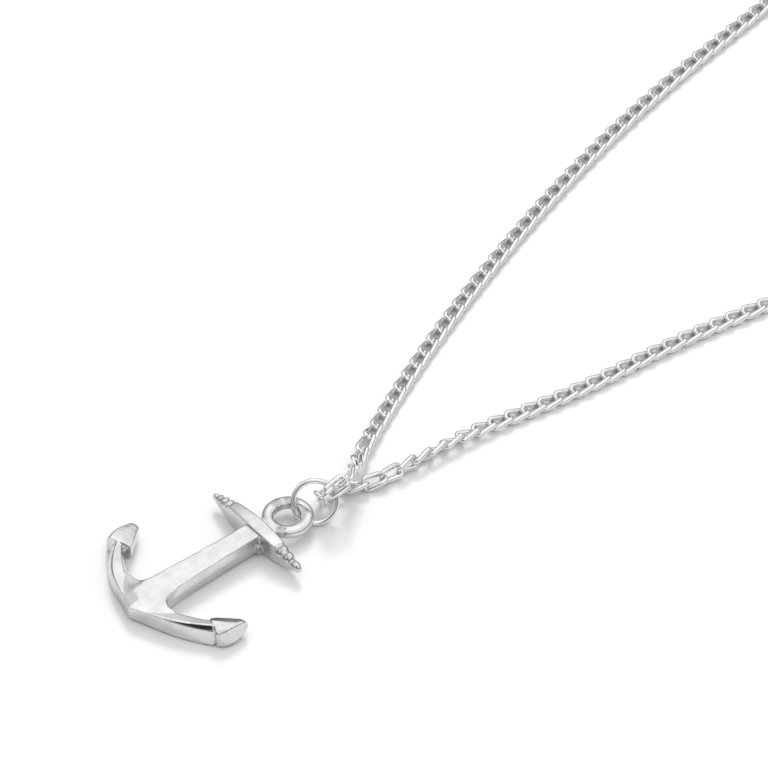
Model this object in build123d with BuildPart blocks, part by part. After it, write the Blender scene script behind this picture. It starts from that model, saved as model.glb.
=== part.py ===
from build123d import *
import os
from math import atan, cos, degrees, radians, sin, tan

os.makedirs("parts", exist_ok=True)

# An anchor pendant on a curb chain, lying on a table. Sizes are in millimetres.
# The anchor is drawn flat, with X across it, Y from its crown to its eye and Z up, and then laid on the table.

# How the anchor lies: its rise from crown to eye, and the height of its middle at the crown
lie_tilt = 1.2
crown_lift = 1.53

# Arms
arm_width = 2.5
arm_height = 3.1
arm_top_width = 0.8
arm_inner_height = 0.85

# Flukes, the left one a little broader than the right
fluke_foot = (9.46, 7.86)
fluke_slope = -14.0
fluke_turn = -10.0
fluke_width = 5.4
fluke_length = 5.1
fluke_height = 3.12
fluke_wall = 0.75
left_spread = 1.18
right_spread = 1.0

# Shank
shank_start = 4.4
shank_end = 24.2
shank_width = 3.9
shank_height = 3.3
shank_flat = 0.9
throat_radius = 1.6
throat_run = 1.3
throat_end = 7.0
shank_round = 0.3

# Stock
stock_place = 25.0
stock_span = 21.0
stock_depth = 1.85
stock_height = 4.2
stock_rise = 0.05
stock_tip = 0.9
stock_edge = 0.55
tip_size = 1.05
bead_size = 1.25
bead_sink = 0.4
collar_width = 5.0
collar_depth = 2.0
collar_top = 0.5
collar_foot = -1.3

# Eye
eye_place = 30.4
eye_radius = 3.05
eye_wire = 1.95
neck_width = 3.6
neck_length = 2.2
neck_height = 1.7
neck_round = 0.5

# Jump ring, leaning where it passes through the eye
ring_radius = 3.3
ring_wire = 0.7
ring_place = (1.1, 34.8, 3.25)
ring_axis = (0.69, -0.50, 0.53)

# Chain links, each bent a little out of flat at its four corners
link_wire = 0.48
link_length = 4.08
link_width = 2.2
link_bend = 0.5
link_corner = 0.65
link_pitch = 2.95
link_play = 0.12

# Turn of each of the last two links, so that the clasp's own link stands on edge
clasp_turn = 45

# Clasp, a plain bar with an eye at each end
clasp_length = 8.0
clasp_width = 3.0
clasp_round = 0.8
clasp_eye_radius = 1.05
clasp_eye_wire = 0.7

# Loop of the chain behind the pendant
loop_centre = -12.5
loop_end = 223.5
loop_width = 73.0

# Outer edges of the two arms, which aren't quite alike: slope and straight run, then radius and angle of the bow
left_edge = (17.0, 5.5, 12.9, 38.5)
right_edge = (24.3, 5.3, 25.7, 18.0)

# Arm sections: place along the outer edge, width, height, and how far the outer edge is bevelled
arm_sections = [
    (0.00, 1.00, 0.78, 0.08),
    (0.25, 1.00, 0.84, 0.12),
    (0.50, 1.00, 0.92, 0.25),
    (0.75, 0.96, 0.97, 0.42),
    (1.00, 0.92, 1.00, 0.55),
]

# Fluke sections: place along its length, inner edge, inner ridge, outer ridge, outer edge, and height
fluke_sections = [
    (0.00, 0.00, 0.14, 0.61, 0.67, 1.00),
    (0.20, 0.06, 0.24, 0.66, 0.78, 0.98),
    (0.45, 0.16, 0.38, 0.64, 0.79, 0.90),
    (0.70, 0.27, 0.47, 0.57, 0.71, 0.74),
    (0.92, 0.37, 0.46, 0.51, 0.58, 0.46),
    (1.00, 0.44, 0.48, 0.49, 0.52, 0.16),
]

# Shank sections: place along its length, width and height
shank_sections = [
    (0.00, 1.28, 0.98),
    (0.20, 1.14, 1.00),
    (0.55, 0.97, 1.00),
    (1.00, 0.80, 1.00),
]

# Beads on the stock: place along half of its span, and size
stock_beads = [
    (0.55, 1.00),
    (0.69, 0.92),
    (0.81, 0.80),
]

# Joints of the chain round the jump ring: X, Y, Z, and the roll of the link that follows
turn_joints = [
    (-5.9, 51.3, 1.1, 5),
    (-4.5, 48.7, 0.9, 10),
    (-2.8, 46.4, 1.5, 40),
    (-1.1, 44.4, 2.9, 60),
    (0.6, 42.6, 4.3, 60),
    (2.1, 40.2, 5.0, 85),
    (3.2, 38.8, 6.7, 135),
    (2.8, 36.0, 5.5, 135),
    (2.1, 36.1, 3.9, 160),
    (-0.1, 36.9, 2.3, 155),
    (-0.5, 38.9, 1.0, 165),
    (0.2, 41.7, 1.0, 165),
    (1.4, 44.4, 0.9, 165),
]

# Ways of the two strands from the turn to the loop behind: X and Y
left_way = [(-14.8, 69.5), (-24.7, 94.2), (-32.9, 119.8), (-38.9, 146.3), (-41.9, 164.7)]
right_way = [(2.7, 57.2), (4.5, 71.6), (6.7, 85.0), (7.8, 97.3), (10.9, 118.1)]

# Rolls of the two strands' links, counted from the turn, and how many links each lasts
left_rolls = [(0, 0)]
right_rolls = [
    (205, 1),
    (240, 1),
    (275, 1),
    (298, 1),
    (310, 1),
    (322, 1),
    (336, 1),
    (348, 1),
    (356, 1),
    (360, 0),
]


def section(plane, points):
    """A closed section with straight sides on a plane."""
    with BuildSketch(plane) as drawn:
        with BuildLine():
            Polyline(*points, close=True)
        make_face()
    return drawn.sketch


def fluke(spread):
    """The right fluke, its sections stacked along its length from a foot that is turned a little."""
    heading = Vector(-sin(radians(fluke_slope)), cos(radians(fluke_slope)))
    faces = []
    for place, inner, inner_ridge, outer_ridge, outer, height in fluke_sections:
        slope = fluke_slope + fluke_turn * (1 - place)
        half = fluke_height * height / 2
        wall = fluke_wall * half
        points = [
            (inner, -wall),
            (inner_ridge, -half),
            (outer_ridge * spread, -half),
            (outer * spread, 0),
            (outer_ridge * spread, half),
            (inner_ridge, half),
            (inner, wall),
        ]
        level = Plane(
            origin=Vector(*fluke_foot) + heading * fluke_length * place,
            x_dir=(cos(radians(slope)), sin(radians(slope)), 0),
            z_dir=(-sin(radians(slope)), cos(radians(slope)), 0),
        )
        faces.append(section(level, [(fluke_width * across, up) for across, up in points]))
    with BuildPart() as blade:
        loft(faces, ruled=True)
    return blade.part


# Shank
shank_faces = []
for place, width, height in shank_sections:
    at = shank_start + (shank_end - shank_start) * place
    wide = shank_width * width / 2
    half = shank_height * height / 2
    flat = shank_flat * wide
    points = [(-flat, -half), (flat, -half), (wide, 0), (flat, half), (-flat, half), (-wide, 0)]
    shank_faces.append(section(Plane(origin=(0, at, 0), x_dir=(-1, 0, 0), z_dir=(0, 1, 0)), points))
with BuildPart() as shank:
    loft(shank_faces)
    fillet(shank.faces().sort_by(Axis.Y)[0].edges(), radius=shank_round)


def arm_and_crown(slope, straight, bow_radius, bow_angle):
    """The right arm, with the half of the crown that fills the corner between it and the shank."""
    with BuildLine() as edge:
        run = Line((0, 0), (straight * cos(radians(slope)), straight * sin(radians(slope))))
        JernArc(start=run @ 1, tangent=run % 1, radius=bow_radius, arc_size=bow_angle)
    way = Wire(edge.line.edges())
    faces = []
    for place, width, height, bevel in arm_sections:
        at = way.position_at(place * way.length, PositionMode.LENGTH)
        along = way.tangent_at(place * way.length, PositionMode.LENGTH)
        deep = arm_width * width
        half = arm_height * height / 2
        top = arm_top_width * deep
        inner = arm_inner_height * half
        points = [
            (0, bevel - half),
            (bevel, -half),
            (top, -inner),
            (deep, 0),
            (top, inner),
            (bevel, half),
            (0, half - bevel),
        ]
        faces.append(section(Plane(origin=at, x_dir=Vector(0, 0, 1).cross(along), z_dir=along), points))
    with BuildPart() as arm:
        loft(faces)

    side = shank_width * shank_sections[1][1] / 2
    turn = arm_width / cos(radians(slope)) + side * tan(radians(slope))
    reach = run @ 1 + Vector(-sin(radians(slope)), cos(radians(slope))) * arm_width + (run % 1) * throat_run
    edge_height = arm_height * arm_sections[0][2] / 2
    top = shank_height * shank_sections[0][2] / 2
    fall = degrees(atan((top - edge_height) / (shank_start * cos(radians(slope)))))
    with BuildPart() as crown:
        with BuildSketch() as outline:
            with BuildLine():
                Polyline((0, 0), run @ 1, reach, (side, turn), (side, throat_end), (0, throat_end), close=True)
            make_face()
            fillet(outline.vertices().sort_by_distance((side, turn, 0))[0], radius=throat_radius)
        extrude(amount=top, both=True)
        for face, kept in ((1, Keep.BOTTOM), (-1, Keep.TOP)):
            level = Plane(origin=(0, 0, face * edge_height), x_dir=run % 1, z_dir=(0, 0, 1))
            split(bisect_by=level.rotated((face * fall, 0, 0)), keep=kept)
        add(arm.part)
    return crown.part


# Stock, the shape shared by its outline from the front and its outline from above
stock_half = stock_span / 2
with BuildPart() as stock:
    with BuildSketch(Plane.XZ.offset(-stock_place)):
        with BuildLine():
            for side in (-1, 1):
                ThreePointArc(
                    (-stock_half, stock_rise + side * stock_tip / 2),
                    (0, stock_rise + side * stock_height / 2),
                    (stock_half, stock_rise + side * stock_tip / 2),
                )
                Line(
                    (side * stock_half, stock_rise - stock_tip / 2),
                    (side * stock_half, stock_rise + stock_tip / 2),
                )
        make_face()
    extrude(amount=stock_depth, both=True)
    with BuildSketch() as stock_outline:
        with BuildLine():
            for side in (-1, 1):
                ThreePointArc(
                    (-stock_half, stock_place + side * stock_edge / 2),
                    (0, stock_place + side * stock_depth / 2),
                    (stock_half, stock_place + side * stock_edge / 2),
                )
                Line(
                    (side * stock_half, stock_place - stock_edge / 2),
                    (side * stock_half, stock_place + stock_edge / 2),
                )
        make_face()
    extrude(amount=stock_height, both=True, mode=Mode.INTERSECT)
    for place, size in stock_beads:
        for side in (-1, 1):
            fall = 1 - place**2
            high = stock_rise + (stock_tip + (stock_height - stock_tip) * fall) / 2 - bead_sink
            with Locations((side * stock_half * place, stock_place, high)):
                Sphere(bead_size * size / 2)
    with Locations((-stock_half, stock_place, stock_rise), (stock_half, stock_place, stock_rise)):
        Sphere(tip_size / 2)

# Eye, with the neck that joins it to the stock
with BuildPart() as neck:
    Box(neck_width, neck_length, neck_height)
    fillet(neck.edges().filter_by(Axis.Y), radius=neck_round)
with BuildPart() as eye:
    with Locations((0, eye_place, 0)):
        Torus(eye_radius, eye_wire / 2)
    with Locations((0, eye_place - eye_radius - eye_wire / 2, 0)):
        add(neck.part)

# The cast anchor, all one piece
left_arm = arm_and_crown(*left_edge)
right_arm = arm_and_crown(*right_edge)
left_fluke = fluke(left_spread)
right_fluke = fluke(right_spread)
with BuildPart() as flat_anchor:
    add(left_arm)
    add(left_fluke)
    mirror(about=Plane.YZ, mode=Mode.REPLACE)
    add([right_arm, right_fluke, shank.part, stock.part])
    with Locations((0, stock_place - stock_depth / 2, (collar_top + collar_foot) / 2)):
        Box(collar_width, collar_depth, collar_top - collar_foot)
    add(eye.part)
with BuildPart() as anchor:
    with Locations(Location((0, 0, crown_lift), (lie_tilt, 0, 0))):
        add(flat_anchor.part)

# Jump ring
with BuildPart(Plane(origin=ring_place, z_dir=ring_axis)) as jump_ring:
    Torus(ring_radius, ring_wire / 2)

# One link of the chain, half of its wire swept and turned into the other half
link_end = (link_length - link_wire) / 2
link_side = (link_width - link_wire) / 2
with BuildPart() as link_half:
    with BuildLine():
        FilletPolyline(
            (link_end, 0, 0),
            (link_end, link_side, -link_bend),
            (-link_end, link_side, link_bend),
            (-link_end, 0, 0),
            radius=link_corner,
        )
    with BuildSketch(Plane(origin=(link_end, 0, 0), z_dir=(0, link_side, -link_bend))):
        Circle(link_wire / 2)
    sweep()
with BuildPart() as link:
    with PolarLocations(0, 2):
        add(link_half.part)

# Clasp
eye_from_joint = link_end - link_wire / 2 - link_play - clasp_eye_wire / 2 + clasp_eye_radius - link_pitch / 2
clasp_reach = clasp_length / 2 + clasp_eye_radius + eye_from_joint
loop_bend = loop_width / 2 - clasp_reach
clasp_place = Vector(loop_centre, loop_end + loop_bend, link_width / 2)
with BuildPart() as clasp:
    with Locations(clasp_place):
        Box(clasp_length, clasp_width, link_width)
        fillet(clasp.edges().filter_by(Axis.Z), radius=clasp_round)
        with Locations((-clasp_length / 2 - clasp_eye_radius, 0, 0), (clasp_length / 2 + clasp_eye_radius, 0, 0)):
            Torus(clasp_eye_radius, clasp_eye_wire / 2)


def strand(start, heading, way, side):
    """Joints of one strand, from the turn at the pendant to the clasp, at equal steps."""
    with BuildLine() as line:
        run = Spline(start, *way, (loop_centre + side * loop_width / 2, loop_end), tangents=[heading, (0, 1)])
        JernArc(start=run @ 1, tangent=run % 1, radius=loop_bend, arc_size=side * 90)
    wire = Wire(line.line.edges())
    count = round(wire.length / link_pitch)
    return [wire.position_at(wire.length * step / count, PositionMode.LENGTH) for step in range(count + 1)]


def laid(rolls, count):
    """Rolls of all the links of a strand. A flat link is followed by flat ones up to the clasp's, on edge."""
    listed = [roll for roll, lasts in rolls for _ in range(round(lasts))]
    flat = rolls[-1][0]
    return listed + [flat] * (count - len(listed) - 2) + [flat + clasp_turn, flat + 2 * clasp_turn]


def rest_height(roll):
    """Height of a link's middle when it lies on the table."""
    return link_wire / 2 + link_side * abs(sin(radians(roll))) + link_rise * abs(cos(radians(roll)))


def placed(start, end, roll):
    """Place of the link between two joints, rolled about the line between them."""
    along = (end - start).normalized()
    up = (Vector(0, 0, 1) - along * along.Z).normalized()
    across = up.cross(along)
    normal = up * cos(radians(roll)) - across * sin(radians(roll))
    return Plane(origin=(start + end) / 2, x_dir=along, z_dir=normal).location


link_rise = (link.part.bounding_box().size.Z - link_wire) / 2
turn = [Vector(x, y, z) for x, y, z, roll in turn_joints]
chain_places = [placed(turn[k], turn[k + 1], turn_joints[k][3]) for k in range(len(turn) - 1)]
strands = [
    (-1, turn[0], turn[1], left_way, left_rolls),
    (1, turn[-1], turn[-2], right_way, right_rolls),
]
for side, start, before, way, rolls in strands:
    flat_start = (start.X, start.Y)
    heading = (start.X - before.X, start.Y - before.Y)
    joints = strand(flat_start, heading, way, side)
    link_rolls = laid(rolls, len(joints) - 1)
    heights = [rest_height(roll) for roll in link_rolls]
    levels = [start.Z] + [max(pair) for pair in zip(heights, heights[1:])] + [heights[-1]]
    joints = [joint + Vector(0, 0, level) for joint, level in zip(joints, levels)]
    chain_places += [placed(joints[k], joints[k + 1], roll) for k, roll in enumerate(link_rolls)]

chain = Compound(label="chain", children=[place * link.part for place in chain_places])

# Everything is moved so that the middle of its footprint on the table is at the origin
box = Compound([anchor.part, jump_ring.part, clasp.part, chain]).bounding_box()
centring = Location((-box.center().X, -box.center().Y, -box.min.Z))
for piece in (anchor.part, jump_ring.part, clasp.part, chain):
    piece.move(centring)

anchor.part.label = "anchor"
export_step(anchor.part, "parts/anchor.step")
jump_ring.part.label = "jump ring"
export_step(jump_ring.part, "parts/jump_ring.step")
clasp.part.label = "clasp"
export_step(clasp.part, "parts/clasp.step")
export_step(chain, "parts/chain.step")
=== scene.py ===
import bpy
import numpy as np
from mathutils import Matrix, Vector


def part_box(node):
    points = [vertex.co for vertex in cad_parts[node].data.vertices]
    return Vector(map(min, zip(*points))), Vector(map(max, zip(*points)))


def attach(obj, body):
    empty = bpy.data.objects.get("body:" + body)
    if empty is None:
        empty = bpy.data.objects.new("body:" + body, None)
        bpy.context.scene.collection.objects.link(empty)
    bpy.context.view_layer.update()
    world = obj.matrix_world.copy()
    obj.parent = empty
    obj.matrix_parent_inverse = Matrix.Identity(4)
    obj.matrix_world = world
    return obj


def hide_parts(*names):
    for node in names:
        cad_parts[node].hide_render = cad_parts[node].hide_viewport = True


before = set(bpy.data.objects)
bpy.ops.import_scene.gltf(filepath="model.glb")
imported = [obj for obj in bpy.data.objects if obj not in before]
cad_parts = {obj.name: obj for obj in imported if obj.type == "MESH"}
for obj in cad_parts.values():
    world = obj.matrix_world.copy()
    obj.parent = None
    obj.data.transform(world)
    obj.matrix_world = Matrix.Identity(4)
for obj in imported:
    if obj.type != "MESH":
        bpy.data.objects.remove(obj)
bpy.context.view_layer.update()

# Sizes are in millimetres, as in the source. Meshes are in metres.
MM = 0.001
X_AXIS, Y_AXIS, Z_AXIS = np.eye(3)
SQUARE = np.array([[-1, -1], [1, -1], [1, 1], [-1, 1]])

# How the anchor lies on the table, and the jump ring's middle from the crown
LIE_TILT = np.radians(1.2)
CROWN_LIFT = 1.53
RING_PLACE = np.array([1.1, 34.8, 3.25])

# Where the source's centring puts the crown, found from the jump ring
ring_low, ring_high = (np.array(corner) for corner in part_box("jump_ring"))
CROWN = (ring_low + ring_high) / 2 - RING_PLACE * MM


# Mesh helpers

def mesh_piece(name, points, faces, smooth=True):
    """A mesh object from points in metres and faces as corner numbers."""
    mesh = bpy.data.meshes.new(name)
    mesh.from_pydata(np.asarray(points).tolist(), [], [list(map(int, face)) for face in faces])
    mesh.polygons.foreach_set("use_smooth", np.full(len(mesh.polygons), smooth))
    mesh.update()
    piece = bpy.data.objects.new(name, mesh)
    bpy.context.scene.collection.objects.link(piece)
    return piece


def unit(vectors):
    """Vectors divided by their lengths."""
    return vectors / np.linalg.norm(vectors, axis=-1, keepdims=True)


def grid_faces(rows, columns, rows_close=False):
    """Quads of a grid of rows by columns of points, numbered row by row. The columns close into a ring."""
    row = np.arange(rows if rows_close else rows - 1)[:, None]
    column = np.arange(columns)[None]
    next_row = (row + 1) % rows
    next_column = (column + 1) % columns
    quads = [row * columns + column, row * columns + next_column, next_row * columns + next_column,
             next_row * columns + column]
    return np.stack([np.broadcast_to(quad, (row.size, column.size)).ravel() for quad in quads], 1)


def lofted(sections):
    """Points and faces of a closed body through sections (n, m, 3), with flat caps. Sections run round
    counterclockwise, seen from the far end."""
    n, m, _ = sections.shape
    faces = [list(face) for face in grid_faces(n, m)]
    faces.append(list(range(m - 1, -1, -1)))
    faces.append([(n - 1) * m + k for k in range(m)])
    return sections.reshape(-1, 3), faces


def between(rows, count):
    """Rows of a table carried on to count even steps, by a smooth cubic through its rows."""
    rows = np.asarray(rows, float)
    place = np.linspace(rows[0, 0], rows[-1, 0], count)
    k = np.clip(np.searchsorted(rows[:, 0], place, side="right") - 1, 0, len(rows) - 2)
    step = rows[k + 1, 0] - rows[k, 0]
    t = ((place - rows[k, 0]) / step)[:, None]
    slope = np.gradient(rows, rows[:, 0], axis=0)
    value = ((2 * t**3 - 3 * t**2 + 1) * rows[k] + (t**3 - 2 * t**2 + t) * step[:, None] * slope[k]
             + (3 * t**2 - 2 * t**3) * rows[k + 1] + (t**3 - t**2) * step[:, None] * slope[k + 1])
    value[:, 0] = place
    return value


def laid(points):
    """Points of the anchor, drawn flat in millimetres, on the table: turned by the tilt about the crown's
    cross line, lifted, and moved to the crown's place."""
    u, v, w = np.moveaxis(np.asarray(points, float), -1, 0)
    y = v * np.cos(LIE_TILT) - w * np.sin(LIE_TILT)
    z = v * np.sin(LIE_TILT) + w * np.cos(LIE_TILT) + CROWN_LIFT
    return np.stack([u, y, z], -1) * MM + CROWN


def mirrored(points):
    """Points on the other side of the anchor's middle."""
    return np.asarray(points) * [-1, 1, 1]


class Body:
    """Points and faces of closed shells that will be one casting."""

    def __init__(self):
        self.points = []
        self.faces = []
        self.count = 0

    def add(self, points, faces, flip=False):
        """Takes in one more shell. flip turns its faces round, as a mirrored shell needs."""
        points = np.asarray(points, float).reshape(-1, 3)
        self.points.append(points)
        self.faces += [[self.count + int(k) for k in (face[::-1] if flip else face)] for face in faces]
        self.count += len(points)


def ball(centre, radii, rings=14, sides=20):
    """A ball: latitude and longitude on a grid, closed at its poles, which lie on its w axis."""
    lat = np.linspace(-np.pi / 2, np.pi / 2, rings)[1:-1]
    lon = np.linspace(0, 2 * np.pi, sides, endpoint=False)
    grid = np.stack([np.cos(lat)[:, None] * np.cos(lon), np.cos(lat)[:, None] * np.sin(lon),
                     np.broadcast_to(np.sin(lat)[:, None], (len(lat), sides))], -1)
    points = np.concatenate([grid.reshape(-1, 3), [-Z_AXIS, Z_AXIS]]) * radii + centre
    faces = [list(face) for face in grid_faces(len(lat), sides)]
    last = len(lat) * sides
    top = (len(lat) - 1) * sides
    faces += [[last, (k + 1) % sides, k] for k in range(sides)]
    faces += [[last + 1, top + k, top + (k + 1) % sides] for k in range(sides)]
    return points, faces


def cuboid(centre, size):
    """A block: a rectangle at its lower and its upper end."""
    flat = SQUARE / 2 * size[:2]
    rows = [np.concatenate([flat, np.full((4, 1), end * size[2] / 2)], 1) for end in (-1, 1)]
    return lofted(np.array(rows) + centre)


def ring_of_wire(centre, across, up, radius, wire, steps=96, sides=24, squareness=1.0, tall=1.0):
    """A ring of wire: one angle round the ring and one round the wire. across and up are unit vectors of its
    plane. squareness under 1 makes the wire's section fuller at its corners, and tall is the section's
    height over its width. Returns a grid of points."""
    turn = np.linspace(0, 2 * np.pi, steps, endpoint=False)
    round_wire = np.linspace(0, 2 * np.pi, sides, endpoint=False)
    c, s = (np.sign(part) * np.abs(part) ** squareness for part in (np.cos(round_wire), np.sin(round_wire)))
    out = np.cos(turn)[:, None] * across + np.sin(turn)[:, None] * up
    wall = out[:, None] * (radius + wire * c[None, :, None])
    lift = np.cross(across, up) * wire * tall * s[None, :, None]
    return centre + wall + lift


# Anchor shapes, in its own flat frame: u across, v from crown to eye, w up

ARM_WIDTH = 2.5
ARM_HEIGHT = 3.1
# Place along the outer edge, shares of the width and height, bevel of the outer edge, and how far its foot
# stands out
ARM_ROWS = [
    (0.00, 1.00, 0.78, 0.08, 0.00),
    (0.25, 1.00, 0.84, 0.12, 0.12),
    (0.50, 1.00, 0.92, 0.25, 0.28),
    (0.75, 0.96, 0.96, 0.48, 0.48),
    (1.00, 0.92, 0.98, 0.66, 0.80),
]
UNDER_BEVEL = 0.08
# How far the last section reaches into the fluke, and the place where an arm begins to taper
ARM_REACH = 0.3
TAPER_START = 0.65
# Where the roof meets the inner side, as shares of the width and of half the height
SHOULDER_IN = 0.8
SHOULDER_UP = 0.85


def arm_line(edge, count):
    """Points, directions, inward directions and places at even steps along an arm's outer edge: a straight
    run at a slope and then an arc."""
    slope, straight, radius, angle = edge
    slope, angle = np.radians(slope), np.radians(angle)
    total = straight + radius * angle
    along = np.linspace(0, total, count)
    turn = slope + np.clip((along - straight) / radius, 0, None)
    run = np.minimum(along, straight)
    u = run * np.cos(slope) + radius * (np.sin(turn) - np.sin(slope))
    v = run * np.sin(slope) + radius * (np.cos(slope) - np.cos(turn))
    heading = np.stack([np.cos(turn), np.sin(turn)], 1)
    inward = np.stack([-np.sin(turn), np.cos(turn)], 1)
    return np.stack([u, v], 1), heading, inward, along / total


def arm_sections(edge, taper, count=40):
    """Arm sections carried along its outer edge. Each is a flat outer side whose upper bevel grows towards
    the fluke, a narrow roof above and below, and an inner side that comes to a blunt edge at mid height.
    taper is the share of the width that is lost over the last third."""
    line, heading, inward, share = arm_line(edge, count)
    _, width, height, bevel, foot = between(ARM_ROWS, count).T
    late = np.clip((share - TAPER_START) / (1 - TAPER_START), 0, 1)
    deep = ARM_WIDTH * width * (1 - taper * late**2)
    half = ARM_HEIGHT * height / 2
    zero = np.zeros(count)
    under = zero + UNDER_BEVEL
    across = np.stack([-foot, under - foot, SHOULDER_IN * deep, deep, SHOULDER_IN * deep, bevel, zero], 1)
    shoulder = SHOULDER_UP * half
    up = np.stack([under - half, -half, -shoulder, zero, shoulder, half, half - bevel], 1)
    line[-1] += ARM_REACH * heading[-1]
    points = line[:, None] + inward[:, None] * across[..., None]
    return np.concatenate([points, up[..., None]], -1)[:, ::-1]


# Where the base begins, how its tip leans, and how much further its base is turned
FLUKE_FOOT = np.array([9.46, 7.86])
FLUKE_SLOPE = np.radians(-14.0)
FLUKE_TURN = np.radians(-10.0)
FLUKE_WIDTH = 5.4
FLUKE_LENGTH = 4.95
FLUKE_HEIGHT = 3.12
# Place along its length, inner edge, inner ridge, outer ridge and outer edge as shares of the width, share
# of the height, and bevel on the outer ridge
FLUKE_ROWS = [
    (0.00, 0.00, 0.16, 0.58, 0.67, 1.00, 0.50),
    (0.20, 0.06, 0.27, 0.62, 0.78, 0.98, 0.36),
    (0.45, 0.16, 0.41, 0.62, 0.79, 0.90, 0.14),
    (0.70, 0.27, 0.48, 0.56, 0.71, 0.74, 0.06),
    (0.92, 0.37, 0.46, 0.51, 0.58, 0.46, 0.04),
    (1.00, 0.44, 0.48, 0.49, 0.52, 0.16, 0.01),
]
# Shares of half the height: edge of the inner wall, edge of the outer foot, and the most that a bevel takes
INNER_WALL = 0.75
OUTER_FOOT = 0.7
BEVEL_LIMIT = 0.6
# Outer edge of the underside as a share of the outer edge, and how far the outer wall swells towards it
SOLE_EDGE = 0.97
OUTER_SWELL = 0.6


def fluke_sections(spread, inner_shift, count=40):
    """Fluke sections stacked along its length, from the base, which is turned a little, to the tip. Each is
    a flat top between two ridges, a slanting inner wall, and an outer wall that swells from a bevelled ridge
    to its foot. spread widens its outer part, and inner_shift moves the inner ridge outward."""
    place, inner, inner_ridge, outer_ridge, outer, height, bevel = between(FLUKE_ROWS, count).T
    high = FLUKE_HEIGHT * height / 2
    wall = INNER_WALL * high
    outer, outer_ridge = outer * spread, outer_ridge * spread
    inner_ridge = inner_ridge + inner_shift * (outer_ridge - inner_ridge)
    bevel = np.minimum(bevel, BEVEL_LIMIT * high)
    bevelled = outer_ridge + bevel / FLUKE_WIDTH
    swell = OUTER_SWELL * outer + (1 - OUTER_SWELL) * bevelled
    across = FLUKE_WIDTH * np.stack([inner, (inner + inner_ridge) / 2, SOLE_EDGE * outer, outer, swell,
                                     bevelled, outer_ridge, inner_ridge, inner], 1)
    up = np.stack([-wall, -high, -high, -OUTER_FOOT * high, 0 * high, high - bevel, high, high, wall], 1)
    slope = FLUKE_SLOPE + FLUKE_TURN * (1 - place)
    base = np.stack([np.cos(slope), np.sin(slope)], 1)
    tall = np.array([-np.sin(FLUKE_SLOPE), np.cos(FLUKE_SLOPE)])
    flat = FLUKE_FOOT + across[..., None] * base[:, None] + (FLUKE_LENGTH * place)[:, None, None] * tall
    return np.concatenate([flat, up[..., None]], -1)[:, ::-1]


SHANK_START = 4.4
SHANK_END = 24.2
SHANK_WIDTH = 3.9
SHANK_HEIGHT = 3.3
# Place along its length, shares of the width and height, and how far it lies to the side
SHANK_ROWS = [
    (0.00, 1.32, 0.98, -0.22),
    (0.20, 1.18, 1.00, -0.20),
    (0.55, 1.02, 1.00, -0.12),
    (1.00, 0.88, 1.00, 0.02),
]
# Width of its flat top as a share of its width
SHANK_FLAT = 0.9


def shank_sections(count=40):
    """Six-sided shank sections, flat above and below, with a low ridge at mid height on each side."""
    place, width, height, aside = between(SHANK_ROWS, count).T
    wide = SHANK_WIDTH * width / 2
    flat = SHANK_FLAT * wide
    half = SHANK_HEIGHT * height / 2
    across = aside[:, None] + np.stack([-flat, flat, wide, flat, -flat, -wide], 1)
    up = np.stack([-half, -half, 0 * half, half, half, 0 * half], 1)
    v = SHANK_START + (SHANK_END - SHANK_START) * place
    return np.stack([across, np.broadcast_to(v[:, None], across.shape), up], -1)[:, ::-1]


THROAT_RADIUS = 1.6
# Width at the throat as a share of the shank's, where the crown ends on the shank, and how far that end is
# inside the shank's side
THROAT_WIDTH = 1.14
THROAT_END = 9.0
THROAT_INSET = 0.5
# Width of the band that falls to the outer edge
CROWN_BAND = 1.9
# Where the crown ends on the arm: past the straight run, and as a share of the arm's width
CROWN_REACH = 1.6
CROWN_DEPTH = 0.85
# Share of its length from which it thins out
THIN_START = 0.40


def crown_plate(edge, fill, steps=36, rows=14, arc_steps=12):
    """Half of the crown, a plate between the arm's outer edge and a line up the shank's side, round the
    throat and along the arm's inner edge. A band of its faces falls to the outer edge, and it thins out to
    its end. fill moves the throat outward."""
    slope, straight = np.radians(edge[0]), edge[1]
    along = np.array([np.cos(slope), np.sin(slope)])
    inward = np.array([-np.sin(slope), np.cos(slope)])
    side = SHANK_WIDTH * THROAT_WIDTH / 2 + fill
    turn = np.array([side, ARM_WIDTH / np.cos(slope) + side * np.tan(slope) + fill])
    reach = THROAT_RADIUS / np.tan((np.pi / 2 - slope) / 2)
    centre = turn + np.array([THROAT_RADIUS, reach])
    angle = np.linspace(np.pi, np.pi + (np.pi / 2 + slope), arc_steps)
    arc = centre + THROAT_RADIUS * np.stack([np.cos(angle), np.sin(angle)], 1)
    start = [[0.0, THROAT_END], [side - fill - THROAT_INSET, THROAT_END]]
    end = along * (straight + CROWN_REACH) + inward * ARM_WIDTH * CROWN_DEPTH
    inner = np.concatenate([start, arc, [end]])
    length = np.concatenate([[0], np.cumsum(np.linalg.norm(np.diff(inner, axis=0), axis=1))])
    place = np.linspace(0, length[-1], steps)
    inner = np.stack([np.interp(place, length, inner[:, k]) for k in (0, 1)], 1)
    outer = along * np.linspace(0, straight, steps)[:, None]
    share = np.linspace(0, 1, rows)[None, :, None]
    flat = outer[:, None] * (1 - share) + inner[:, None] * share
    edge_half = ARM_HEIGHT * ARM_ROWS[0][2] / 2
    rise = SHANK_HEIGHT * SHANK_ROWS[0][2] / 2 - edge_half
    thin = np.clip((np.linspace(0, 1, steps) - THIN_START) / (1 - THIN_START), 0, 1)[:, None]
    top = edge_half + rise * np.minimum(flat @ inward / CROWN_BAND, 1) * (1 - thin)
    upper = np.concatenate([flat, top[..., None]], -1)
    lower = np.concatenate([flat, -top[..., None]], -1)
    return lofted(np.concatenate([upper, lower[:, ::-1]], 1))


STOCK_PLACE = 24.8
STOCK_MIDDLE = -0.45
STOCK_RISE = 0.05
STOCK_SPAN = 20.7
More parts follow.
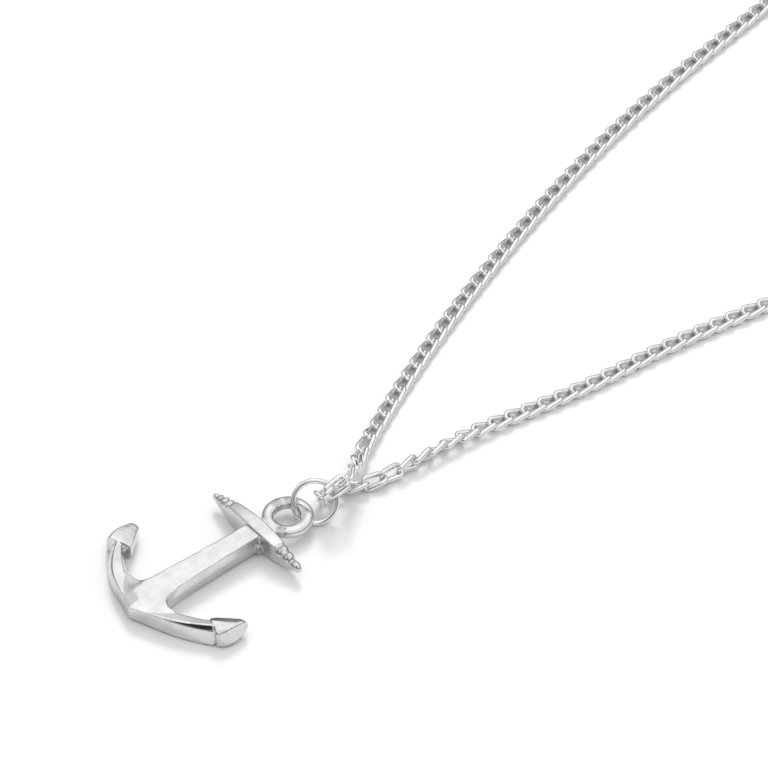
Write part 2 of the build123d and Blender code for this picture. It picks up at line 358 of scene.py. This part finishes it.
# Depth and height in the middle, and at both ends
STOCK_DEPTH = 2.35
STOCK_HEIGHT = 4.2
STOCK_EDGE = 0.75
STOCK_TIP = 1.0
STOCK_CHAMFER = 0.16
# Ends of the leaf, its step and the length of that step's slope
LEAF_LEFT = -6.2
LEAF_RIGHT = 4.9
LEAF_STEP = 0.50
LEAF_SLOPE = 0.35
# How far the top falls to its front edge and its back edge, and what is added to the chamfer at the back
FRONT_FALL = 0.03
BACK_FALL = 0.05
BACK_CHAMFER = 0.1
# Place across, length, how far it stands out of the stock's depth, and height
BEADS = [
    (5.65, 0.92, 0.26, 0.90),
    (7.10, 0.88, 0.24, 0.82),
    (-6.95, 0.60, 0.14, 0.62),
    (-8.05, 0.58, 0.12, 0.56),
    (-9.10, 0.54, 0.10, 0.50),
]
# Place across, length, depth and height
TIPS = [
    (8.80, 1.12, 0.72, 0.78),
    (-10.10, 0.70, 0.48, 0.55),
]


def stock_half(share):
    """Half height of the stock at a share of its half span."""
    return (STOCK_TIP + (STOCK_HEIGHT - STOCK_TIP) * (1 - share**2)) / 2


def stock_deep(share):
    """Half depth of the stock at a share of its half span."""
    return (STOCK_EDGE + (STOCK_DEPTH - STOCK_EDGE) * (1 - share**2)) / 2


def stock_sections(count=161):
    """Sections of the stock along its span, each a block with chamfered edges whose height and depth follow
    arcs. A leaf in the middle stands a step above the two ends."""
    share = np.linspace(-1, 1, count)
    half = stock_half(share)
    deep = stock_deep(share)
    place = STOCK_MIDDLE + share * STOCK_SPAN / 2
    past = np.clip(np.maximum(place - LEAF_RIGHT, LEAF_LEFT - place) / LEAF_SLOPE, 0, 1)
    top = half - LEAF_STEP * past**2 * (3 - 2 * past)
    edge = STOCK_CHAMFER * np.minimum(1, half)
    outline = [
        (-deep, edge - half),
        (-deep, top - edge),
        (edge - deep, top - FRONT_FALL),
        (0 * deep, top),
        (deep - edge, top - BACK_FALL),
        (deep, top - edge - BACK_CHAMFER),
        (deep, edge - half),
        (deep - edge, -half),
        (edge - deep, -half),
    ]
    v, w = (np.stack(part, 1) for part in zip(*outline))
    u = np.broadcast_to(place[:, None], v.shape)
    return np.stack([u, STOCK_PLACE + v, STOCK_RISE + w], -1)[:, ::-1]


EYE_PLACE = 30.4
EYE_RADIUS = 3.05
EYE_WIRE = 0.975
EYE_RISE = -0.2
# Shape of the eye's section: under 1 is fuller at its corners, and its height over its width
EYE_SQUARENESS = 0.72
EYE_TALL = 0.84
# The collar under the stock, the neck under the eye, and a small boss beside the neck
COLLAR_RISE = -0.65
COLLAR_SIZE = (4.6, 1.6, 1.5)
NECK_SIZE = (3.6, 2.4, 1.5)
BOSS_PLACE = (1.8, EYE_PLACE - EYE_RADIUS + 0.05, 0.1)
BOSS_RADII = (0.75, 0.75, 0.5)
# Each side's outer edge as slope in degrees, straight run, and radius and angle of the arc. Then the arm's
# taper, the fluke's spread and shift, the throat's fill, and whether it is the left side
SIDES = [
    ((24.3, 5.3, 25.7, 18.0), 0.05, 1.00, 0.00, 0.00, False),
    ((17.0, 5.5, 12.9, 38.5), 0.30, 1.18, 0.22, 0.35, True),
]
# Size of the cubes by which the shells are melted into one casting
MELT_CUBE = 0.13


def anchor_body():
    """All shells of the casting, which overlap where they meet."""
    body = Body()
    body.add(*lofted(shank_sections()))
    for edge, taper, spread, shift, fill, left in SIDES:
        arm = lofted(arm_sections(edge, taper))
        fluke = lofted(fluke_sections(spread, shift))
        for points, faces in (arm, fluke, crown_plate(edge, fill)):
            body.add(mirrored(points) if left else points, faces, flip=left)
    body.add(*lofted(stock_sections()))
    for place, length, over, tall in BEADS:
        share = (place - STOCK_MIDDLE) / (STOCK_SPAN / 2)
        high = STOCK_RISE + stock_half(share) - tall
        body.add(*ball((place, STOCK_PLACE, high), (length, stock_deep(share) + over, tall)))
    for place, *radii in TIPS:
        body.add(*ball((place, STOCK_PLACE, STOCK_RISE), radii))
    body.add(*cuboid((0, STOCK_PLACE - STOCK_DEPTH / 2, COLLAR_RISE), COLLAR_SIZE))
    eye = ring_of_wire((0, EYE_PLACE, EYE_RISE), X_AXIS, Y_AXIS, EYE_RADIUS, EYE_WIRE,
                       squareness=EYE_SQUARENESS, tall=EYE_TALL)
    body.add(eye, grid_faces(*eye.shape[:2], rows_close=True))
    body.add(*cuboid((0, EYE_PLACE - EYE_RADIUS - EYE_WIRE, EYE_RISE), NECK_SIZE))
    body.add(*ball(BOSS_PLACE, BOSS_RADII))
    return body


body = anchor_body()
anchor = mesh_piece("anchor_cast", laid(np.concatenate(body.points)), body.faces)
remesh = anchor.modifiers.new("melt", "REMESH")
remesh.mode = "VOXEL"
remesh.voxel_size = MELT_CUBE * MM
remesh.use_smooth_shade = True
soften = anchor.modifiers.new("soften", "SMOOTH")
soften.factor = 0.5
soften.iterations = 4
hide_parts("anchor")
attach(anchor, "root")


# Jump ring

RING_RADIUS = 3.3
RING_WIRE = 0.43
RING_AXIS = np.array([0.69, -0.50, 0.53])
RING_STEPS = (140, 20)

ring_axis = unit(RING_AXIS)
ring_across = unit(np.cross(ring_axis, Z_AXIS))
ring_up = np.cross(ring_axis, ring_across)
grid = ring_of_wire(RING_PLACE * MM + CROWN, ring_across, ring_up, RING_RADIUS * MM, RING_WIRE * MM,
                    *RING_STEPS)
jump_ring = mesh_piece("jump_ring_wire", grid.reshape(-1, 3), grid_faces(*RING_STEPS, rows_close=True))
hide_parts("jump_ring")
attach(jump_ring, "root")


# Chain

LINK_COUNT = 167
# A link's corners along it, across it and up, and the radius that rounds them
LINK_END = 1.80
LINK_SIDE = 0.86
LINK_BEND = 0.5
LINK_CORNER = 0.65
# Radius of the wire, the share that it loses at the ends, and how far the fuller links are lifted
LINK_WIRE = 0.45
LINK_THIN = 0.22
LINK_LIFT = 0.18
# Links on the anchor's side of this place along Y are finer. Steps in a bend, along a side, round the wire
NEAR_END = 45
NEAR_DETAIL = (8, 4, 12)
FAR_DETAIL = (5, 2, 8)


def link_line(bend_steps, side_steps):
    """The wire's centre line in a link: four straight sides between corners that stand up and down in turn,
    with every corner rounded by an arc."""
    corner = np.array([(1, 1, -1), (-1, 1, 1), (-1, -1, -1), (1, -1, 1)]) * [LINK_END, LINK_SIDE, LINK_BEND]
    before = unit(np.roll(corner, 1, 0) - corner)
    after = unit(np.roll(corner, -1, 0) - corner)
    half = np.arccos((before * after).sum(1)) / 2
    cut = LINK_CORNER / np.tan(half)
    centre = corner + unit(before + after) * (LINK_CORNER / np.sin(half))[:, None]
    first = corner + before * cut[:, None] - centre
    last = corner + after * cut[:, None] - centre
    turn = (np.pi - 2 * half)[:, None, None]
    t = np.linspace(0, 1, bend_steps)[None, :, None]
    swing = np.sin((1 - t) * turn) * first[:, None] + np.sin(t * turn) * last[:, None]
    arc = centre[:, None] + swing / np.sin(turn)
    following = np.roll(arc[:, 0], -1, 0)
    s = np.linspace(0, 1, side_steps + 2)[None, 1:-1, None]
    side = arc[:, -1:] * (1 - s) + following[:, None] * s
    return np.concatenate([arc, side], 1).reshape(-1, 3)


def link_shape(bend_steps, side_steps, sides):
    """A link's surface: its centre line with a round section carried along it, fuller in the middle of the
    sides than at the ends. Returns a grid of points."""
    line = link_line(bend_steps, side_steps)
    heading = unit(np.roll(line, -1, 0) - np.roll(line, 1, 0))
    out = unit(np.cross(heading, Z_AXIS))
    up = np.cross(out, heading)
    angle = np.linspace(0, 2 * np.pi, sides, endpoint=False)
    wire = LINK_WIRE * (1 - LINK_THIN * np.clip(np.abs(line[:, :1]) / LINK_END, 0, 1) ** 3)
    section = np.cos(angle)[:, None] * out[:, None] + np.sin(angle)[:, None] * up[:, None]
    return line[:, None] + wire[:, None] * section


def link_places(node, count):
    """Centres and axes of the links in the frame's chain node, found from each link's own corner points:
    their mean, and the directions in which they spread most, less and least."""
    mesh = node.data
    places = np.empty(len(mesh.vertices) * 3)
    mesh.vertices.foreach_get("co", places)
    corners = np.empty(len(mesh.loops), int)
    mesh.loops.foreach_get("vertex_index", corners)
    links = places.reshape(-1, 3)[corners].reshape(count, -1, 3)
    middle = links.mean(1)
    away = links - middle[:, None]
    _, axes = np.linalg.eigh(np.einsum("nki,nkj->nij", away, away))
    along, flat = axes[:, :, 2], axes[:, :, 0]
    return middle, np.stack([along, np.cross(flat, along), flat], 1)


def chain_shape(node):
    """Points and faces of all links, each laid where the node has one."""
    centres, axes = link_places(node, LINK_COUNT)
    near = centres[:, 1] < NEAR_END * MM
    points, faces, count = [], [], 0
    for chosen, detail in ((near, NEAR_DETAIL), (~near, FAR_DETAIL)):
        grid = link_shape(*detail) * MM
        one = grid.reshape(-1, 3)
        some = np.einsum("pk,nkj->npj", one, axes[chosen]) + centres[chosen][:, None]
        quads = grid_faces(*grid.shape[:2], rows_close=True)
        starts = count + np.arange(chosen.sum()) * len(one)
        faces.append((starts[:, None, None] + quads[None]).reshape(-1, 4))
        points.append(some.reshape(-1, 3))
        count += some.shape[0] * some.shape[1]
    return np.concatenate(points) + Z_AXIS * LINK_LIFT * MM, np.concatenate(faces)


chain = mesh_piece("chain_links", *chain_shape(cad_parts["chain"]))
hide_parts("chain")
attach(chain, "root")


# Shader helpers. A value is another node's socket or a plain number, vector or colour.

VECTOR, COLOUR, NUMBER = "NodeSocketVector", "NodeSocketColor", "NodeSocketFloat"


def feed(tree, socket, value):
    """Links a socket to a value's socket, or sets it to a plain value."""
    if isinstance(value, bpy.types.NodeSocket):
        tree.links.new(value, socket)
    else:
        socket.default_value = value


def node_group(name, inputs, outputs):
    """A node group with sockets given as names and kinds, and its input and output nodes."""
    group = bpy.data.node_groups.new(name, "ShaderNodeTree")
    for way, sockets in (("INPUT", inputs), ("OUTPUT", outputs)):
        for socket, kind in sockets:
            group.interface.new_socket(socket, in_out=way, socket_type=kind)
    return group, group.nodes.new("NodeGroupInput"), group.nodes.new("NodeGroupOutput")


def calculated(tree, kind, operation, *values):
    """A math node of a kind, fed with its values in order."""
    node = tree.nodes.new(kind)
    node.operation = operation
    for socket, value in zip(node.inputs, values):
        feed(tree, socket, value)
    return node


def number(tree, operation, *values):
    """A number worked out from numbers."""
    return calculated(tree, "ShaderNodeMath", operation, *values).outputs[0]


def measured(tree, operation, first, second):
    """A number worked out from two vectors."""
    return calculated(tree, "ShaderNodeVectorMath", operation, first, second).outputs["Value"]


def blend(tree, kind, share, first, second):
    """A mix of two colours or numbers by a share."""
    node = tree.nodes.new("ShaderNodeMix")
    node.data_type = kind
    for socket, value in (("Factor", share), ("A", first), ("B", second)):
        feed(tree, node.inputs[socket], value)
    return node.outputs["Result"]


def noise(tree, place, scale, detail):
    """Noise at a place, with its scale per metre and its detail."""
    node = tree.nodes.new("ShaderNodeTexNoise")
    for socket, value in (("Vector", place), ("Scale", scale), ("Detail", detail)):
        feed(tree, node.inputs[socket], value)
    return node.outputs["Fac"]


def ramp(tree, value, start, end, low, high, kind="SMOOTHSTEP"):
    """A number that goes from low to high while the value goes from start to end."""
    node = tree.nodes.new("ShaderNodeMapRange")
    node.interpolation_type = kind
    sockets = (("Value", value), ("From Min", start), ("From Max", end), ("To Min", low), ("To Max", high))
    for socket, given in sockets:
        feed(tree, node.inputs[socket], given)
    return node.outputs["Result"]


def relief(tree, shader, height, strength, depth):
    """Adds relief of a depth in millimetres to a shader's normal, over the relief it has."""
    node = tree.nodes.new("ShaderNodeBump")
    for socket, value in (("Height", height), ("Strength", strength), ("Distance", depth * MM)):
        feed(tree, node.inputs[socket], value)
    normal = shader.inputs["Normal"]
    if normal.is_linked:
        feed(tree, node.inputs["Normal"], normal.links[0].from_socket)
    feed(tree, normal, node.outputs["Normal"])


# Silver

# Scale and detail of each noise
BLOTCHES = (420, 4)
GRAIN = (2600, 3)
PATCH_EDGE = (900, 2)
SKIN_GRAIN = (2300, 2)
# Share of the grain in the wear, heights between which it goes from bright to dull, and depth of its relief
GRAIN_SHARE = 0.35
DULL_BAND = (0.45, 0.95)
WEAR_DEPTH = 0.03
# How uneven a patch of rough skin and painted shade is, and the shares of its radius over which it fades
PATCH_UNEVEN = 0.6
PATCH_FADE = (0.9, 1.3)


def wear_group():
    """Wear on polished silver: soft blotches and fine grain added up, which give its height and lead from
    the bright colour to the dull one and from the smooth roughness to the rough one."""
    inputs = [("Coordinates", VECTOR), ("Bright", COLOUR), ("Dull", COLOUR), ("Smooth", NUMBER),
              ("Rough", NUMBER), ("Size", NUMBER)]
    outputs = [("Color", COLOUR), ("Roughness", NUMBER), ("Height", NUMBER)]
    group, given, out = node_group("silver_wear", inputs, outputs)
    scale = calculated(group, "ShaderNodeVectorMath", "SCALE", given.outputs["Coordinates"])
    feed(group, scale.inputs["Scale"], given.outputs["Size"])
    place = scale.outputs[0]
    blotches, grain = noise(group, place, *BLOTCHES), noise(group, place, *GRAIN)
    height = number(group, "MULTIPLY_ADD", grain, GRAIN_SHARE, blotches)
    dull = ramp(group, height, *DULL_BAND, 0.0, 1.0, kind="LINEAR")
    colour = blend(group, "RGBA", dull, given.outputs["Bright"], given.outputs["Dull"])
    rough = blend(group, "FLOAT", dull, given.outputs["Smooth"], given.outputs["Rough"])
    for socket, value in (("Color", colour), ("Roughness", rough), ("Height", height)):
        feed(group, out.inputs[socket], value)
    return group


def skin_and_shade_group():
    """A round patch of rough cast skin with painted shade: how much of it there is at a point, from the
    distance to its centre over its radius, with noise added for an uneven edge."""
    inputs = [("Coordinates", VECTOR), ("Centre", VECTOR), ("Radius", NUMBER)]
    group, given, out = node_group("cast_skin_and_shade", inputs, [("Amount", NUMBER)])
    place = given.outputs["Coordinates"]
    away = measured(group, "DISTANCE", place, given.outputs["Centre"])
    share = number(group, "DIVIDE", away, given.outputs["Radius"])
    edge = number(group, "MULTIPLY_ADD", noise(group, place, *PATCH_EDGE), PATCH_UNEVEN, share)
    feed(group, out.inputs["Amount"], ramp(group, edge, *PATCH_FADE, 1.0, 0.0))
    return group


WEAR = wear_group()
SKIN_AND_SHADE = skin_and_shade_group()


def silver(name, bright, dull, smooth, rough, size, strength):
    """Polished silver with its own colours, roughness, size of wear and strength of relief."""
    material = bpy.data.materials.new(name)
    material.use_nodes = True
    tree = material.node_tree
    shader = tree.nodes["Principled BSDF"]
    shader.inputs["Metallic"].default_value = 1.0
    wear = tree.nodes.new("ShaderNodeGroup")
    wear.node_tree = WEAR
    place = tree.nodes.new("ShaderNodeTexCoord").outputs["Object"]
    for socket, value in (("Coordinates", place), ("Bright", (*bright, 1)), ("Dull", (*dull, 1)),
                          ("Smooth", smooth), ("Rough", rough), ("Size", size)):
        feed(tree, wear.inputs[socket], value)
    feed(tree, shader.inputs["Base Color"], wear.outputs["Color"])
    feed(tree, shader.inputs["Roughness"], wear.outputs["Roughness"])
    relief(tree, shader, wear.outputs["Height"], strength, WEAR_DEPTH)
    return material


def roughened_with_painted_shade(material, places, colour, depth):
    """Adds patches of rough cast skin with painted shade to a material: the greatest amount of all patches
    at a point leads to the darker colour, partly the rough skin's tone and partly painted shade reflected on
    those walls, and strengthens a fine relief."""
    tree = material.node_tree
    shader = tree.nodes["Principled BSDF"]
    place = tree.nodes.new("ShaderNodeTexCoord").outputs["Object"]
    amount = 0.0
    for centre, radius in places:
        patch = tree.nodes.new("ShaderNodeGroup")
        patch.node_tree = SKIN_AND_SHADE
        for socket, value in (("Coordinates", place), ("Centre", laid(centre)), ("Radius", radius * MM)):
            feed(tree, patch.inputs[socket], value)
        amount = number(tree, "MAXIMUM", amount, patch.outputs["Amount"])
    relief(tree, shader, noise(tree, place, *SKIN_GRAIN), amount, depth)
    plain = shader.inputs["Base Color"].links[0].from_socket
    feed(tree, shader.inputs["Base Color"], blend(tree, "RGBA", amount, plain, (*colour, 1)))


# Rough places of the casting in its flat frame, also painted darker as shade reflected there, and how far
# each reaches
ROUGH_AND_SHADED_PLACES = [
    ((3.0, 23.6, 0.2), 1.7),
    ((-1.9, 32.6, 0.2), 1.5),
    ((-2.9, 30.6, 0.2), 1.2),
    ((1.9, 27.5, 0.5), 1.0),
    ((-8.9, 23.9, 0.8), 1.6),
    ((-11.2, 8.1, 0.0), 1.2),
    ((5.7, 24.2, 1.6), 0.7),
    ((7.1, 24.2, 1.2), 0.7),
]

cast_silver = silver("cast_silver", bright=(0.74, 0.74, 0.735), dull=(0.60, 0.60, 0.595), smooth=0.09,
                     rough=0.22, size=1.0, strength=0.5)
# The darker colour of the rough patches is partly painted shade, partly the rough skin's own tone.
roughened_with_painted_shade(cast_silver, ROUGH_AND_SHADED_PLACES, colour=(0.52, 0.52, 0.515), depth=0.22)
wire_silver = silver("wire_silver", bright=(0.88, 0.88, 0.875), dull=(0.76, 0.76, 0.755), smooth=0.05,
                     rough=0.14, size=1.3, strength=0.3)
anchor.data.materials.append(cast_silver)
jump_ring.data.materials.append(wire_silver)
chain.data.materials.append(wire_silver)
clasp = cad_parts["clasp"]
clasp.data.materials.clear()
clasp.data.materials.append(cast_silver)


# Table

TABLE_HALF = 1.5
PAPER_COLOUR = (0.92, 0.92, 0.92, 1)
PAPER_ROUGHNESS = 0.7

corners = [(x * TABLE_HALF, y * TABLE_HALF, 0) for x, y in SQUARE]
floor = mesh_piece("table", corners, [[0, 1, 2, 3]], smooth=False)
paper = bpy.data.materials.new("paper")
paper.use_nodes = True
paper_shader = paper.node_tree.nodes["Principled BSDF"]
paper_shader.inputs["Base Color"].default_value = PAPER_COLOUR
paper_shader.inputs["Roughness"].default_value = PAPER_ROUGHNESS
floor.data.materials.append(paper)


# Light

# Height in the room, as a share of straight up, from and to, and strength there
LOWER_ROOM = (0.0, 0.60, 0.10, 0.75)
UPPER_ROOM = (0.38, 0.68, 0.0, 0.32)
# Way to a spot, inner and outer angle of its soft edge in degrees, and its strength. The panel's is added to
# the room's, and the other two scale it.
PANEL = ((-0.380, 0.219, 0.899), 8, 30, 0.30)
LEFT_WALL = ((-0.80, 0.0, 0.60), 12, 28, 0.66)
PHOTOGRAPHER = ((0.349, -0.656, 0.669), 10, 22, 0.02)


def room_light():
    """A room dark at the horizon and lighter above, with a bright panel behind and overhead, a greyer wall
    to the left and a dark spot beside the camera, where the photographer is."""
    world = bpy.data.worlds.new("room")
    world.use_nodes = True
    tree = world.node_tree
    way = tree.nodes.new("ShaderNodeTexCoord").outputs["Generated"]
    parts = tree.nodes.new("ShaderNodeSeparateXYZ")
    feed(tree, parts.inputs[0], way)

    def spot(place, outside):
        """A number that goes from outside to the spot's strength over its soft edge."""
        middle, inner, outer, strength = place
        inner, outer = np.cos(np.radians((inner, outer)))
        return ramp(tree, measured(tree, "DOT_PRODUCT", way, middle), outer, inner, outside, strength)

    lower, upper = (ramp(tree, parts.outputs["Z"], *room) for room in (LOWER_ROOM, UPPER_ROOM))
    light = number(tree, "ADD", number(tree, "ADD", lower, upper), spot(PANEL, 0.0))
    shade = number(tree, "MULTIPLY", spot(PHOTOGRAPHER, 1.0), spot(LEFT_WALL, 1.0))
    background = tree.nodes["Background"]
    background.inputs["Color"].default_value = (1, 1, 1, 1)
    feed(tree, background.inputs["Strength"], number(tree, "MULTIPLY", light, shade))
    bpy.context.scene.world = world


def lamp(name, place, target, size, power):
    """A round lamp with soft shadows that lights the table and isn't seen in the silver."""
    light = bpy.data.lights.new(name, "AREA")
    light.shape = "DISK"
    light.size = size
    light.energy = power
    piece = bpy.data.objects.new(name, light)
    bpy.context.scene.collection.objects.link(piece)
    piece.location = place
    piece.rotation_euler = (Vector(target) - Vector(place)).to_track_quat("-Z", "Y").to_euler()
    piece.visible_glossy = False


room_light()
lamp("table_lamp", place=(-0.50, 0.34, 0.65), target=(0.0, -0.08, 0.0), size=0.30, power=3.6)


# Camera, at the photograph's angle

EYE_HEIGHT = np.radians(44.3)
EYE_TURN = np.radians(50.17)
CAMERA_PLACE = np.array([503.4, -370.6, 657.9])
# Focal length and picture's width in pixels, and the sensor's width in millimetres
FOCAL = 6100
PICTURE = 768
SENSOR = 36.0

camera_data = bpy.data.cameras.new("camera")
camera_data.sensor_width = SENSOR
camera_data.lens = SENSOR * FOCAL / PICTURE
camera_data.clip_start = 0.01
camera_data.clip_end = 10
camera = bpy.data.objects.new("camera", camera_data)
bpy.context.scene.collection.objects.link(camera)
camera.location = CAMERA_PLACE * MM + CROWN
camera.rotation_euler = (np.pi / 2 - EYE_HEIGHT, 0, EYE_TURN)
bpy.context.scene.camera = camera
bpy.context.scene.view_settings.view_transform = "Standard"
